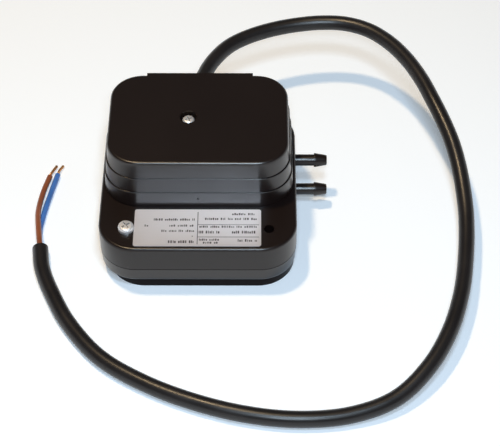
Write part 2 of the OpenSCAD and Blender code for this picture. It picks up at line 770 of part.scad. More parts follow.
// Places of the small screws that hold the three brackets to the floor
bracket_spots = [
    [-1.47 * pivot_arm, 0], [0, -bridge_in / 2 - sheet_t - 3], [3.2, bridge_in / 2 + sheet_t + 3],
    for (share = [0.25, 0.75])
        [switch_x + share * switch_w, switch_t / 2 + sheet_t + foot_l * 0.55]
];

module bracket_holes(low) {
    for (p = bracket_spots) {
        translate([p[0], p[1], 0]) cylinder_between(small_screw_d, low, ledge_z + sheet_t + past);
    }
}

module switch_body() {
    color("#2f3a4a") difference() {
        translate([switch_x, -switch_t / 2, switch_z]) cube([switch_w, switch_t, switch_h]);
        translate([plunger_arm, 0, switch_z - past])
            cylinder(d = plunger_d + 2 * fit, h = plunger_in + lift * 2.2 + past);
        for (x = switch_hole_x) {
            translate([x, 0, switch_hole_z]) rotate([90, 0, 0])
                cylinder(d = 2.2, h = room_d, center = true);
        }
    }
}

module switch_plunger() {
    color("#b5482f") translate([plunger_arm, 0, lever_top + gap])
        cylinder(d = plunger_d, h = switch_z + plunger_in - lever_top - gap);
}

module switch_terminals() {
    color("#c8a24a") for (x = blade_x) {
        translate([x - 1.4, -0.4, switch_z + switch_h]) cube([2.8, 0.8, blade_h]);
    }
}

module switch_bracket() {
    color("#b9bdc1") difference() {
        union() {
            translate([switch_x, switch_t / 2, ledge_z])
                cube([switch_w, sheet_t, switch_z + switch_h - ledge_z]);
            translate([switch_x, switch_t / 2, ledge_z])
                cube([switch_w, sheet_t + foot_l, sheet_t]);
        }
        for (x = switch_hole_x) {
            translate([x, 0, switch_hole_z]) rotate([90, 0, 0])
                cylinder(d = 2, h = room_d, center = true);
        }
        bracket_holes(ledge_z - past);
    }
}

module switch_screws() {
    color("#c9c7c2") for (x = switch_hole_x) {
        translate([x, -switch_t / 2, switch_hole_z]) rotate([90, 0, 0])
            pan_screw(3.8, small_head_h, 2, switch_t + sheet_t);
    }
}

module bracket_screws() {
    color("#c9c7c2") for (p = bracket_spots) {
        translate([p[0], p[1], ledge_z + sheet_t])
            pan_screw(small_head_d, small_head_h, small_screw_d, small_screw_l - past);
    }
}

module cable_clamp() {
    color("#2a2624") difference() {
        translate([outlet_x - clamp_w / 2, clamp_y - clamp_d / 2, frame_z + 0.5])
            cube([clamp_w, clamp_d, clamp_top - frame_z - 0.5]);
        outlet(cable_in_y, rear_y, cable_d);
        for (s = [-1, 1]) {
            translate([outlet_x + s * clamp_pitch / 2, clamp_y, 0])
                cylinder_between(small_screw_d + 0.3, frame_z, clamp_top + past);
        }
    }
}

module clamp_screws() {
    color("#c9c7c2") for (s = [-1, 1]) {
        translate([outlet_x + s * clamp_pitch / 2, clamp_y, clamp_top])
            pan_screw(small_head_d, small_head_h, small_screw_d, 11);
    }
}

module cable_boot() {
    in_y = block_y + room_d / 2;
    color("#1c1c1c") translate([outlet_x, 0, frame_z]) rotate([-90, 0, 0]) rotate_extrude()
        polygon([
            [cable_d / 2, in_y - 1.8], [neck_d / 2 + flange_step, in_y - 1.8],
            [neck_d / 2 + flange_step, in_y - 0.1], [neck_d / 2, in_y - 0.1],
            [neck_d / 2, rear_y + 0.1], [neck_d / 2 + 1.6, rear_y + 0.1],
            [neck_d / 2 + 1.6, rear_y + 1.6], [neck_d / 2 + 0.4, rear_y + 2],
            [cable_d / 2 + 0.7, rear_y + boot_l], [cable_d / 2, rear_y + boot_l]
        ]);
}

module brown_lead() {
    color("#8c4b2d") swept_tube(lead_route(blade_x[1], frame_z + lead_rise, brown_shares), core_d, 8);
}

module blue_lead() {
    color("#4173be") swept_tube(lead_route(blade_x[2], frame_z - lead_rise, blue_shares), core_d, 8);
}

module cable() {
    color("#232021") swept_tube(cable_route, cable_d, 12);
}

module brown_core() {
    color("#8c4b2d") swept_tube(from_end(brown_path), core_d, 8);
}

module blue_core() {
    color("#4173be") swept_tube(from_end(blue_path), core_d, 8);
}

module brown_strands() {
    color("#c89646") swept_tube(from_end(brown_tip_path), strand_d, 8);
}

module blue_strands() {
    color("#c89646") swept_tube(from_end(blue_tip_path), strand_d, 8);
}

lower_shell();
upper_shell();
switch_frame();
cover();
cover_gasket();
cover_screw();
housing_screws();
frame_screws();
low_nozzle();
high_nozzle();
rating_plate();
diaphragm();
upper_plate();
lower_plate();
push_pin();
pin_seal();
lever_bracket();
pivot_pin();
switch_lever();
measuring_spring();
spring_seat();
setting_knob();
knob_clip();
setting_bridge();
switch_body();
switch_plunger();
switch_terminals();
switch_bracket();
switch_screws();
bracket_screws();
cable_clamp();
clamp_screws();
cable_boot();
brown_lead();
blue_lead();
cable();
brown_core();
blue_core();
brown_strands();
blue_strands();
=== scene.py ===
"""Finish of a differential pressure switch for air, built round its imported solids.

All places are metres in the row's frame: the origin is the middle of the base's underside,
+X points to the hose nozzles, +Y to the cable and +Z up.
"""

import json
import math
import random

import bmesh
import bpy
from bpy.props import FloatProperty, FloatVectorProperty, IntProperty, PointerProperty
from mathutils import Matrix, Vector

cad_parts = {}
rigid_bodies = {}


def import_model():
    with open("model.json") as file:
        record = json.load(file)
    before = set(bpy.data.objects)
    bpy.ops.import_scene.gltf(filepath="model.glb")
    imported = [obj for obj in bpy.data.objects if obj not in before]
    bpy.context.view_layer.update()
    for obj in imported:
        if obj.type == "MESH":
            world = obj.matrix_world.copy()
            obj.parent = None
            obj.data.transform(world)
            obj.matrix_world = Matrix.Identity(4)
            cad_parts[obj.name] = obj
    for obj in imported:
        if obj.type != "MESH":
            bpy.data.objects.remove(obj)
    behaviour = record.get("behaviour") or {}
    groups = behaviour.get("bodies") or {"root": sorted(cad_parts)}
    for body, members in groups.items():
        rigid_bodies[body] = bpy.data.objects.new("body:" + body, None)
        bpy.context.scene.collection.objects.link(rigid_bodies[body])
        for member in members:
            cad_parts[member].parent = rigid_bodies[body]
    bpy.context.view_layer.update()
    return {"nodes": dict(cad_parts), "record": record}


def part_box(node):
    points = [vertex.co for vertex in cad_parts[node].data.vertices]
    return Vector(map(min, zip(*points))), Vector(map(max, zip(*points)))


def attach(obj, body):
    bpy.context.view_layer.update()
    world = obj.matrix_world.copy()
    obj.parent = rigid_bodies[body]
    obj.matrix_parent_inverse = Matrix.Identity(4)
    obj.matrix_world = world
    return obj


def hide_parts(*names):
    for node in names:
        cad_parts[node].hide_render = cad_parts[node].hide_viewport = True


bl_info = {
    "name": "Differential pressure switch",
    "version": (1, 0, 0),
    "blender": (4, 5, 0),
    "location": "3D View > Sidebar > Switch",
    "description": "Builds the finish of a differential pressure switch round its solids",
    "category": "Object",
}

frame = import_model()
HOUSING_BODY = frame["record"]["behaviour"]["joints"][0]["parent"]

MM = 0.001
# Height of the parting line between the shells, and one just above the rating plate, where
# the walls of the switch block begin
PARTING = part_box("lower_shell")[1].z
BLOCK_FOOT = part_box("rating_plate")[1].z + 0.6 * MM
# Height at which each gloss of the housing begins, and its specular level:
# the matt foot plinth, the lower shell, the upper shell and the switch block
GLOSS_LEVELS = ((0.0, 0.08), (0.0055, 0.62), (PARTING, 0.48),
                (BLOCK_FOOT, 0.70))
# Height that the gloss ramp reaches up to, above the whole block
GLOSS_TOP = 0.06
# Centreline of the jacket, in millimetres, the same points as the part's source
CABLE_ROUTE = (
    (-1, 24, 34), (-1, 38, 34), (-0.5, 50, 34), (2, 60, 34), (6.5, 69.5, 34), (13, 78, 34),
    (22, 84.5, 34), (33, 89.5, 34), (44.5, 92.5, 34.2), (56, 93.5, 34.7), (67.5, 92, 35.3),
    (78, 87, 35.7), (87, 78.5, 35.7), (94.5, 67.5, 35.3), (100.5, 55, 34.4), (105, 43, 32.7),
    (109, 32.5, 30.1), (112.5, 22.5, 26.8), (115, 12, 22.9), (116.5, 0, 19.1), (117, -14, 15.8),
    (115.5, -32.5, 13.3), (112, -53, 12), (105.5, -73, 10.6), (95.5, -90.5, 8.4), (81.5, -104, 5.4),
    (63, -111, 3.7), (42, -113, 3.5), (20.5, -110.5, 3.5), (-1.5, -104, 3.5), (-22, -94.5, 3.5),
    (-40, -82, 3.5), (-54, -64.5, 3.5), (-63, -47, 3.5), (-68, -34, 3.5), (-70, -22, 3.5),
)
# Centrelines of the cores and of their stripped tips, in millimetres
BROWN_ROUTE = (
    (-70, -22, 4.8), (-71, -16, 4.8), (-72, -9, 4.3), (-73, -1, 3), (-73, 6, 1.8),
    (-72, 15, 1.3), (-70, 24, 1.3),
)
BLUE_ROUTE = (
    (-70, -22, 2.2), (-71, -16, 2.2), (-71.5, -9, 1.4), (-71, -3, 1.3), (-70, 5, 1.3),
    (-68.5, 14, 1.3), (-66.5, 25, 1.3),
)
BROWN_TIP = ((-70, 24, 1.3), (-69.5, 26.2, 1.2), (-67.5, 31, 0.8))
BLUE_TIP = ((-66.5, 25, 1.3), (-66, 27.7, 1.2), (-64.5, 31, 0.8))
# Rows of blocks on the plate, in millimetres: left end, right end, middle and height
PRINT_ROWS = (
    (14.7, 25, 18.3, 1.2), (3.1, 25.7, 15.5, 1.2), (0.8, 25.9, 11.0, 1.1), (0.6, 9.9, 7.9, 1.5),
    (14.7, 25.9, 7.9, 1.5), (17.2, 25.7, 3.2, 1.4), (0.8, 9.5, 3.6, 1.1), (2.5, 9.0, 1.9, 1.0),
    (-18.8, -1.2, 15.1, 1.2), (-22.6, -20.8, 11.6, 1.1), (-12, -1.2, 11.6, 1.1),
    (-15.3, -1.2, 8.6, 1.2), (-12.3, -1.5, 2.4, 1.5),
)
# The next values pick the faces of the cross recesses that get painted shade
# Height of a pan head in metres, and the largest face of a cross recess in square metres
HEAD_HEIGHT = 0.0021
RECESS_FACE = 0.000004
# Shares of the head's height: the recess's floor lies below the first and above the second
RECESS_DEPTHS = (0.3, 0.6)
# Rules and the loose dot of the print in millimetres: left, right, front and back
PRINT_RULES = (
    (-0.1, 0.2, 1.0, 19.5), (0.2, 26.2, 12.0, 12.25), (0.2, 26.2, 5.0, 5.25),
    (-2.3, -1.9, 5.3, 5.8),
)
# Choices for the rows: blocks in a group, their widths, the gaps after them, the shares of
# their height that are cut off, and the space after a group, in millimetres
GROUP_BLOCKS = (3, 4, 5, 7)
BLOCK_WIDTHS = (0.35, 0.5, 0.65)
BLOCK_GAPS = (0.22, 0.3, 0.38)
BLOCK_CUTS = (0, 0, 0.18, 0.3)
LEAST_BLOCK = 0.3
GROUP_SPACE = 0.8
# Lamps, in metres: name, place, size, the studio value that holds the power, and colour
LAMPS = (
    ("key_lamp", (-0.22, 0.1, 1.1), 0.07, "key_power", (1.0, 0.74, 0.44)),
    ("fill_lamp", (0.05, -0.256, 0.585), 0.08, "fill_power", (0.66, 0.84, 1.0)),
    ("front_lamp", (0.03, -0.5, 0.6), 0.1, "front_power", (0.72, 0.87, 1.0)),
)
LAMP_TARGET = (0, 0, 0.02)
# World light: sine of the height above the horizon and colour, at the horizon and overhead
HORIZON = (0.08, (0.95, 0.95, 0.94, 1))
CEILING = (0.35, (0.05, 0.05, 0.054, 1))
# Floor: half its side and its drop below the part in metres, and the reach in which its own
# light rises from the first strength to the second
FLOOR_SIZE = 3
FLOOR_DROP = 0.0001
FLOOR_REACH = (0.26, 0.9)
FLOOR_LIFT = (0.2, 1.0)


class SwitchSizes(bpy.types.PropertyGroup):
    """Sizes of the pieces that are added to the solids"""

    jacket_diameter: FloatProperty(
        name="Jacket diameter", description="Diameter of the cable's jacket",
        default=0.007, min=0.005, max=0.008, unit="LENGTH", precision=4)
    core_diameter: FloatProperty(
        name="Core diameter", description="Diameter of one insulated core",
        default=0.0025, min=0.0018, max=0.003, unit="LENGTH", precision=4)
    strand_diameter: FloatProperty(
        name="Strand diameter", description="Diameter of one bare copper strand",
        default=0.00042, min=0.0002, max=0.0006, unit="LENGTH", precision=5)
    print_height: FloatProperty(
        name="Print height", description="How far the printed marks stand above the plate",
        default=0.00002, min=0.00001, max=0.0001, unit="LENGTH", precision=5)
    curve_steps: IntProperty(
        name="Curve steps", description="Straight pieces between two points of a cable's route",
        default=10, min=4, max=24)


class SwitchColours(bpy.types.PropertyGroup):
    """Colours of the finishes, as linear values"""

    housing: FloatVectorProperty(
        name="Housing", description="Black of the moulded housing", subtype="COLOR",
        default=(0.0086, 0.0048, 0.0042), min=0, max=1)
    plate: FloatVectorProperty(
        name="Rating plate", description="Silver grey of the plate", subtype="COLOR",
        default=(0.875, 0.83, 0.85), min=0, max=1)
    print_ink: FloatVectorProperty(
        name="Print", description="Ink of the plate's generic marks", subtype="COLOR",
        default=(0.045, 0.035, 0.04), min=0, max=1)
    zinc: FloatVectorProperty(
        name="Zinc", description="Zinc plating of the screws", subtype="COLOR",
        default=(0.97, 0.96, 1.0), min=0, max=1)
    jacket: FloatVectorProperty(
        name="Jacket", description="Black of the cable's jacket", subtype="COLOR",
        default=(0.012, 0.0105, 0.011), min=0, max=1)
    brown: FloatVectorProperty(
        name="Brown core", description="Insulation of the first core", subtype="COLOR",
        default=(0.26, 0.078, 0.032), min=0, max=1)
    blue: FloatVectorProperty(
        name="Blue core", description="Insulation of the second core", subtype="COLOR",
        default=(0.055, 0.17, 0.50), min=0, max=1)
    copper: FloatVectorProperty(
        name="Copper", description="Bare strands", subtype="COLOR",
        default=(0.78, 0.42, 0.19), min=0, max=1)


class SwitchStudio(bpy.types.PropertyGroup):
    """Camera and light"""

    lens: FloatProperty(
        name="Lens", description="Focal length on a 36 mm sensor",
        default=110.94, min=20, max=300, subtype="DISTANCE_CAMERA")
    camera_place: FloatVectorProperty(
        name="Camera place", description="Where the camera stands", subtype="TRANSLATION",
        default=(0.0234, -0.4694, 0.5136), unit="LENGTH")
    camera_tilt: FloatProperty(
        name="Camera tilt", description="How far the camera looks below the horizon",
        default=math.radians(47.8), min=0, max=math.radians(90), subtype="ANGLE")
    camera_turn: FloatProperty(
        name="Camera turn", description="Turn of the camera to the right of +Y",
        default=math.radians(-0.134), subtype="ANGLE")
    key_power: FloatProperty(
        name="Key light", description="Power of the warm lamp high on the left at the back",
        default=6.2, min=0, max=50, subtype="POWER")
    fill_power: FloatProperty(
        name="Fill light", description="Power of the cool lamp high on the right at the front",
        default=1.3, min=0, max=50, subtype="POWER")
    front_power: FloatProperty(
        name="Front light", description="Power of the small lamp above the camera",
        default=2.2, min=0, max=50, subtype="POWER")


# Materials: small helpers and one function for each finish

def shader(name):
    """A new material with its node tree and its Principled shader."""
    material = bpy.data.materials.new(name)
    material.use_nodes = True
    tree = material.node_tree
    return material, tree, tree.nodes["Principled BSDF"]


def add_node(tree, kind, inputs=(), **settings):
    """A node with its settings, and its inputs set or linked by name."""
    node = tree.nodes.new(kind)
    for key, value in settings.items():
        setattr(node, key, value)
    for key, value in dict(inputs).items():
        if isinstance(value, bpy.types.NodeSocket):
            tree.links.new(value, node.inputs[key])
        else:
            node.inputs[key].default_value = value
    return node


def object_point(tree):
    """The point in the piece's own coordinates, in metres."""
    return add_node(tree, "ShaderNodeTexCoord").outputs["Object"]


def noise(tree, size, detail=3.0, roughness=0.55, stretch=(1, 1, 1)):
    """Noise whose features are about size metres wide, stretched along an axis."""
    place = add_node(tree, "ShaderNodeMapping", {
        "Vector": object_point(tree), "Scale": [1 / s for s in stretch]})
    return add_node(tree, "ShaderNodeTexNoise", {
        "Vector": place.outputs["Vector"], "Scale": 1 / size, "Detail": detail,
        "Roughness": roughness}).outputs["Fac"]


def remap(tree, value, low, high, from_low=0.3, from_high=0.7):
    """The value stretched from one range to another."""
    return add_node(tree, "ShaderNodeMapRange", {
        "Value": value, "From Min": from_low, "From Max": from_high,
        "To Min": low, "To Max": high}).outputs["Result"]


def blend_colour(tree, factor, first, second):
    """A mix of two colours by a factor."""
    mix = add_node(tree, "ShaderNodeMix", data_type="RGBA")
    for socket, value in ((mix.inputs[0], factor), (mix.inputs[6], first), (mix.inputs[7], second)):
        if isinstance(value, bpy.types.NodeSocket):
            tree.links.new(value, socket)
        else:
            socket.default_value = value
    return mix.outputs[2]


def rgba(colour, factor=1.0):
    """Four values for a colour socket, brightened by a factor."""
    return (*(min(1.0, c * factor) for c in colour[:3]), 1.0)


def bump(tree, bsdf, height, depth, strength=0.5):
    """Bump of the given depth in metres on the shader's normal."""
    node = add_node(tree, "ShaderNodeBump", {
        "Height": height, "Distance": depth, "Strength": strength})
    tree.links.new(node.outputs["Normal"], bsdf.inputs["Normal"])
    return node


def specks(tree, spacing, size, share):
    """Sparse round specks: 1 inside a speck, 0 elsewhere."""
    cells = add_node(tree, "ShaderNodeTexVoronoi", {
        "Vector": object_point(tree), "Scale": 1 / spacing, "Randomness": 1.0})
    near = add_node(tree, "ShaderNodeMath", {
        0: cells.outputs["Distance"], 1: size / spacing}, operation="LESS_THAN")
    split = add_node(tree, "ShaderNodeSeparateColor", {"Color": cells.outputs["Color"]})
    picked = add_node(tree, "ShaderNodeMath", {
        0: split.outputs["Red"], 1: share}, operation="LESS_THAN")
    return add_node(tree, "ShaderNodeMath", {
        0: near.outputs[0], 1: picked.outputs[0]}, operation="MULTIPLY").outputs[0]


def housing_finish(colour):
    """Black moulded plastic: fine spark texture, a gloss for each height, a little dust."""
    material, tree, bsdf = shader("black_moulding")
    cloud = noise(tree, 0.03, 1)
    base = blend_colour(tree, cloud, rgba(colour, 0.9), rgba(colour, 1.1))
    dust = specks(tree, 0.006, 0.00016, 0.06)
    tree.links.new(blend_colour(tree, dust, base, (0.12, 0.10, 0.09, 1)), bsdf.inputs["Base Color"])
    grain = noise(tree, 0.00022, 2)
    tree.links.new(remap(tree, cloud, 0.265, 0.305, 0, 1), bsdf.inputs["Roughness"])
    bump(tree, bsdf, grain, 0.000006, 0.25)
    height = add_node(tree, "ShaderNodeSeparateXYZ", {"Vector": object_point(tree)}).outputs["Z"]
    gloss = add_node(tree, "ShaderNodeValToRGB", {
        "Fac": remap(tree, height, 0, 1, 0, GLOSS_TOP)})
    gloss.color_ramp.interpolation = "CONSTANT"
    for start, _ in GLOSS_LEVELS[2:]:
        gloss.color_ramp.elements.new(start / GLOSS_TOP)
    for step, (start, level) in zip(gloss.color_ramp.elements, GLOSS_LEVELS):
        step.position = start / GLOSS_TOP
        step.color = (level, level, level, 1)
    tree.links.new(gloss.outputs["Color"], bsdf.inputs["Specular IOR Level"])
    bsdf.inputs["IOR"].default_value = 1.48
    return material


def plate_finish(colour):
    """Satin silver foil, finely brushed along its width."""
    material, tree, bsdf = shader("silver_foil")
    brushed = noise(tree, 0.00012, 2, stretch=(60, 1, 1))
    cloud = noise(tree, 0.009, 3)
    shade = blend_colour(tree, brushed, rgba(colour, 0.96), rgba(colour, 1.04))
    tint = blend_colour(tree, remap(tree, cloud, 0, 0.25), shade, rgba(colour, 0.92))
    tree.links.new(tint, bsdf.inputs["Base Color"])
    tree.links.new(remap(tree, brushed, 0.28, 0.31, 0, 1), bsdf.inputs["Roughness"])
    bsdf.inputs["Metallic"].default_value = 0.6
    bump(tree, bsdf, brushed, 0.000002, 0.15)
    return material


def ink_finish(colour):
    """Printed ink with slightly uneven cover."""
    material, tree, bsdf = shader("plate_print")
    cover = noise(tree, 0.0005, 2)
    tree.links.new(
        blend_colour(tree, remap(tree, cover, 0, 1), rgba(colour, 0.8), rgba(colour, 1.6)),
        bsdf.inputs["Base Color"])
    bsdf.inputs["Roughness"].default_value = 0.5
    return material


def metal_finish(name, colour, rough=(0.34, 0.46), grain=0.0004, depth=0.000006,
                 stretch=(1, 1, 1), metallic=0.85):
    """Plated or bare metal with fine grain in its gloss."""
    material, tree, bsdf = shader(name)
    fine = noise(tree, grain, 3, stretch=stretch)
    cloud = noise(tree, grain * 9, 3)
    tree.links.new(
        blend_colour(tree, remap(tree, cloud, 0, 1), rgba(colour, 0.86), rgba(colour, 1.08)),
        bsdf.inputs["Base Color"])
    tree.links.new(remap(tree, fine, *rough), bsdf.inputs["Roughness"])
    bsdf.inputs["Metallic"].default_value = metallic
    bump(tree, bsdf, fine, depth, 0.4)
    return material


def plastic_finish(name, colour, rough=(0.35, 0.45), grain=0.0003, depth=0.00001, ior=1.49):
    """Moulded or extruded plastic or rubber with a fine surface."""
    material, tree, bsdf = shader(name)
    fine = noise(tree, grain, 2)
    cloud = noise(tree, grain * 25, 3)
    tree.links.new(
        blend_colour(tree, remap(tree, cloud, 0, 1), rgba(colour, 0.88), rgba(colour, 1.12)),
        bsdf.inputs["Base Color"])
    tree.links.new(remap(tree, cloud, *rough), bsdf.inputs["Roughness"])
    bsdf.inputs["IOR"].default_value = ior
    bump(tree, bsdf, fine, depth, 0.35)
    return material


def all_finishes(colours):
    """Every material, by the record's material slot."""
    return {
        "housing": housing_finish(colours.housing),
        "plate": plate_finish(colours.plate),
        "print": ink_finish(colours.print_ink),
        "zinc": metal_finish("zinc_plating", colours.zinc, (0.34, 0.44), metallic=0.7),
        # Darker, duller zinc laid in the screws' cross recesses: painted shade
        "zinc_recess": metal_finish(
            "zinc_recess", (0.5, 0.49, 0.48), (0.4, 0.5), metallic=0.4),
        "sheet_steel": metal_finish("galvanised_sheet", (0.52, 0.53, 0.55), (0.3, 0.45), 0.003),
        "brass": metal_finish("brass", (0.72, 0.50, 0.20), (0.22, 0.35)),
        "alloy": metal_finish("pressed_alloy", (0.66, 0.67, 0.69), (0.3, 0.42)),
        "membrane": plastic_finish("silicone", (0.26, 0.07, 0.045), (0.45, 0.6)),
        "rubber": plastic_finish("black_rubber", (0.013, 0.013, 0.013), (0.5, 0.62)),
        "acetal": plastic_finish("acetal", (0.70, 0.67, 0.58), (0.3, 0.4)),
        "switch_case": plastic_finish("phenolic", (0.028, 0.042, 0.07), (0.35, 0.5)),
        "plunger_red": plastic_finish("red_plastic", (0.45, 0.07, 0.03), (0.3, 0.4)),
        "jacket": plastic_finish("jacket_pvc", colours.jacket, (0.30, 0.38), 0.0006, 0.00002, 1.46),
        "brown_pvc": plastic_finish("brown_pvc", colours.brown, (0.28, 0.38)),
        "blue_pvc": plastic_finish("blue_pvc", colours.blue, (0.28, 0.38)),
        "copper": metal_finish("copper", colours.copper, (0.22, 0.34)),
    }


_made = {}


def finish_for(slot_name):
    """The material of a slot, made once for the whole scene."""
    if "finishes" not in _made:
        _made["finishes"] = all_finishes(bpy.context.scene.switch_colours)
    return _made["finishes"][slot_name]


def node_slot(node_name):
    """The record's material slot of a node."""
    for row in frame["record"]["subparts"]:
        if row["node"] == node_name:
            return row["material_slot"]
    raise RuntimeError(f"{node_name} has no material slot")


# Meshes

def new_piece(name, data, slot_name, *replaced):
    """An object for the mesh or curve that rides on the housing and stands for nodes."""
    piece = bpy.data.objects.new(name, data)
    bpy.context.scene.collection.objects.link(piece)
    piece.data.materials.clear()
    piece.data.materials.append(finish_for(slot_name))
    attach(piece, HOUSING_BODY)
    if replaced:
        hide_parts(*replaced)
    return piece


def mesh_from(bm, name):
    """A mesh from a bmesh, which is freed."""
    mesh = bpy.data.meshes.new(name)
    bm.to_mesh(mesh)
    bm.free()
    return mesh


def smoothed_copy(node_name, crease=math.radians(34)):
    """A merged copy of a node's mesh, smooth over its curves and sharp at its corners."""
    bm = bmesh.new()
    bm.from_mesh(frame["nodes"][node_name].data)
    bmesh.ops.remove_doubles(bm, verts=bm.verts, dist=0.5e-6)
    bmesh.ops.dissolve_limit(
        bm, angle_limit=math.radians(0.2), use_dissolve_boundaries=False,
        verts=bm.verts, edges=bm.edges, delimit={"NORMAL"})
    for face in bm.faces:
        face.smooth = True
    for edge in bm.edges:
        if len(edge.link_faces) == 2 and edge.calc_face_angle() > crease:
            edge.smooth = False
    return mesh_from(bm, node_name + "_finish")


def dress(node_name, name):
    """A finished copy of a rigid node: merged, smooth shaded and in its own material."""
    piece = new_piece(name, smoothed_copy(node_name), node_slot(node_name), node_name)
    normals = piece.modifiers.new("even_shading", "WEIGHTED_NORMAL")
    normals.keep_sharp = True
    normals.weight = 80
    return piece


def smooth_route(points, steps):
    """Points in metres along a smooth curve through the given millimetre points."""
    knots = [Vector(p) * MM for p in points]
    knots = [2 * knots[0] - knots[1], *knots, 2 * knots[-1] - knots[-2]]
    line = []
    for a, b, c, d in zip(knots, knots[1:], knots[2:], knots[3:]):
        for i in range(steps):
            t = i / steps
            line.append(0.5 * (
                2 * b + (c - a) * t + (2 * a - 5 * b + 4 * c - d) * t * t
                + (3 * b - a - 3 * c + d) * t ** 3))
    return [*line, knots[-2]]


def tube_curve(name, lines, radius, sides=6):
    """A curve object's data with one round spline for each line."""
    data = bpy.data.curves.new(name, "CURVE")
    data.dimensions = "3D"
    data.bevel_depth = radius
    data.bevel_resolution = sides
    data.use_fill_caps = True
    data.twist_mode = "MINIMUM"
    for line in lines:
        spline = data.splines.new("POLY")
        spline.points.add(len(line) - 1)
        for point, place in zip(spline.points, line):
            point.co = (*place, 1)
        spline.use_smooth = True
    return data


def spun(profile, axis_point, axis, steps=48):
    """A bmesh of revolution from (distance along the axis, radius) pairs, with closed ends."""
    bm = bmesh.new()
    axis = Vector(axis).normalized()
    side = axis.orthogonal().normalized()
    ring = [bm.verts.new(Vector(axis_point) + axis * a + side * r) for a, r in profile]
    edges = [bm.edges.new(pair) for pair in zip(ring, ring[1:])]
    bmesh.ops.spin(
        bm, geom=ring + edges, cent=axis_point, axis=axis, angle=math.tau, steps=steps,
        use_merge=True, use_duplicate=False)
    bmesh.ops.remove_doubles(bm, verts=bm.verts, dist=1e-7)
    bmesh.ops.recalc_face_normals(bm, faces=bm.faces)
    for face in bm.faces:
        face.smooth = True
    return bm


# Operators, in the order in which the main function calls them

class SWITCH_OT_camera(bpy.types.Operator):
    """Set up the camera at the photograph's place"""

    bl_idname = "pressure_switch.camera"
    bl_label = "Camera"

    def execute(self, context):
        studio = context.scene.switch_studio
        data = bpy.data.cameras.new("camera")
        data.sensor_fit = "HORIZONTAL"
        data.sensor_width = 36
        data.lens = studio.lens
        data.clip_start = 0.01
        camera = bpy.data.objects.new("camera", data)
        camera.location = studio.camera_place
        camera.rotation_euler = (math.pi / 2 - studio.camera_tilt, 0, -studio.camera_turn)
        context.scene.collection.objects.link(camera)
        context.scene.camera = camera
        return {"FINISHED"}


class SWITCH_OT_cable(bpy.types.Operator):
    """Lay the cable's jacket along its route, from inside the block to its cut end"""

    bl_idname = "pressure_switch.cable"
    bl_label = "Cable jacket"

    def execute(self, context):
        sizes = context.scene.switch_sizes
        line = smooth_route(CABLE_ROUTE, sizes.curve_steps)
        radius = sizes.jacket_diameter / 2
        jacket = new_piece("cable_jacket", tube_curve("cable_jacket", [line], radius, 8),
                           "jacket", "cable")
        return {"FINISHED"}


class SWITCH_OT_cores(bpy.types.Operator):
    """Lay the two insulated cores and their twisted bare strands"""

    bl_idname = "pressure_switch.cores"
    bl_label = "Cores and strands"

    def execute(self, context):
        sizes = context.scene.switch_sizes
        for colour, route, tip in (("brown", BROWN_ROUTE, BROWN_TIP),
                                   ("blue", BLUE_ROUTE, BLUE_TIP)):
            line = smooth_route(route, sizes.curve_steps)
            core = new_piece(
                colour + "_wire", tube_curve(colour + "_wire", [line], sizes.core_diameter / 2),
                colour + "_pvc", colour + "_core")
            strands = new_piece(
                colour + "_tip", twisted_strands(colour + "_tip", tip, sizes),
                "copper", colour + "_strands")
        return {"FINISHED"}


def twisted_strands(name, tip, sizes):
    """Six strands twisted round a seventh, a little frayed at the end, as one mesh."""
    line = smooth_route(tip, 14)
    wire = sizes.strand_diameter
    rng = random.Random(name)
    strands = [line]
    for k in range(6):
        turned = []
        fray = 1 + 0.5 * rng.random()
        for i, place in enumerate(line):
            along = i / (len(line) - 1)
            ahead = (line[min(i + 1, len(line) - 1)] - line[max(i - 1, 0)]).normalized()
            side = ahead.cross(Vector((0, 0, 1))).normalized()
            angle = math.tau * (k / 6 + 0.9 * along)
            reach = wire * (1 + 0.35 * fray * max(0, along - 0.6))
            offset = side * math.cos(angle) + ahead.cross(side) * math.sin(angle)
            turned.append(place + offset * reach)
        strands.append(turned)
    curve = bpy.data.objects.new(name, tube_curve(name, strands, wire / 2, 2))
    bpy.context.scene.collection.objects.link(curve)
    mesh = bpy.data.meshes.new_from_object(curve.evaluated_get(
        bpy.context.evaluated_depsgraph_get()))
    bpy.data.objects.remove(curve)
    return mesh


class SWITCH_OT_boot(bpy.types.Operator):
    """Make the ribbed rubber boot that holds the cable in the back wall"""

    bl_idname = "pressure_switch.boot"
    bl_label = "Cable boot"

    def execute(self, context):
        low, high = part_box("cable_boot")
        radius = context.scene.switch_sizes.jacket_diameter / 2
        middle = (low + high) / 2
        start = Vector((middle.x, low.y, middle.z))
        profile = boot_profile(high.y - low.y, (high.x - low.x) / 2, radius)
        boot = new_piece("cable_boot_ribbed", mesh_from(spun(profile, start, (0, 1, 0)), "boot"),
                         "rubber", "cable_boot")
        edges = boot.modifiers.new("soft_edges", "BEVEL")
        edges.width = 0.00012
        edges.segments = 2
        edges.limit_method = "ANGLE"
        edges.angle_limit = math.radians(35)
        return {"FINISHED"}


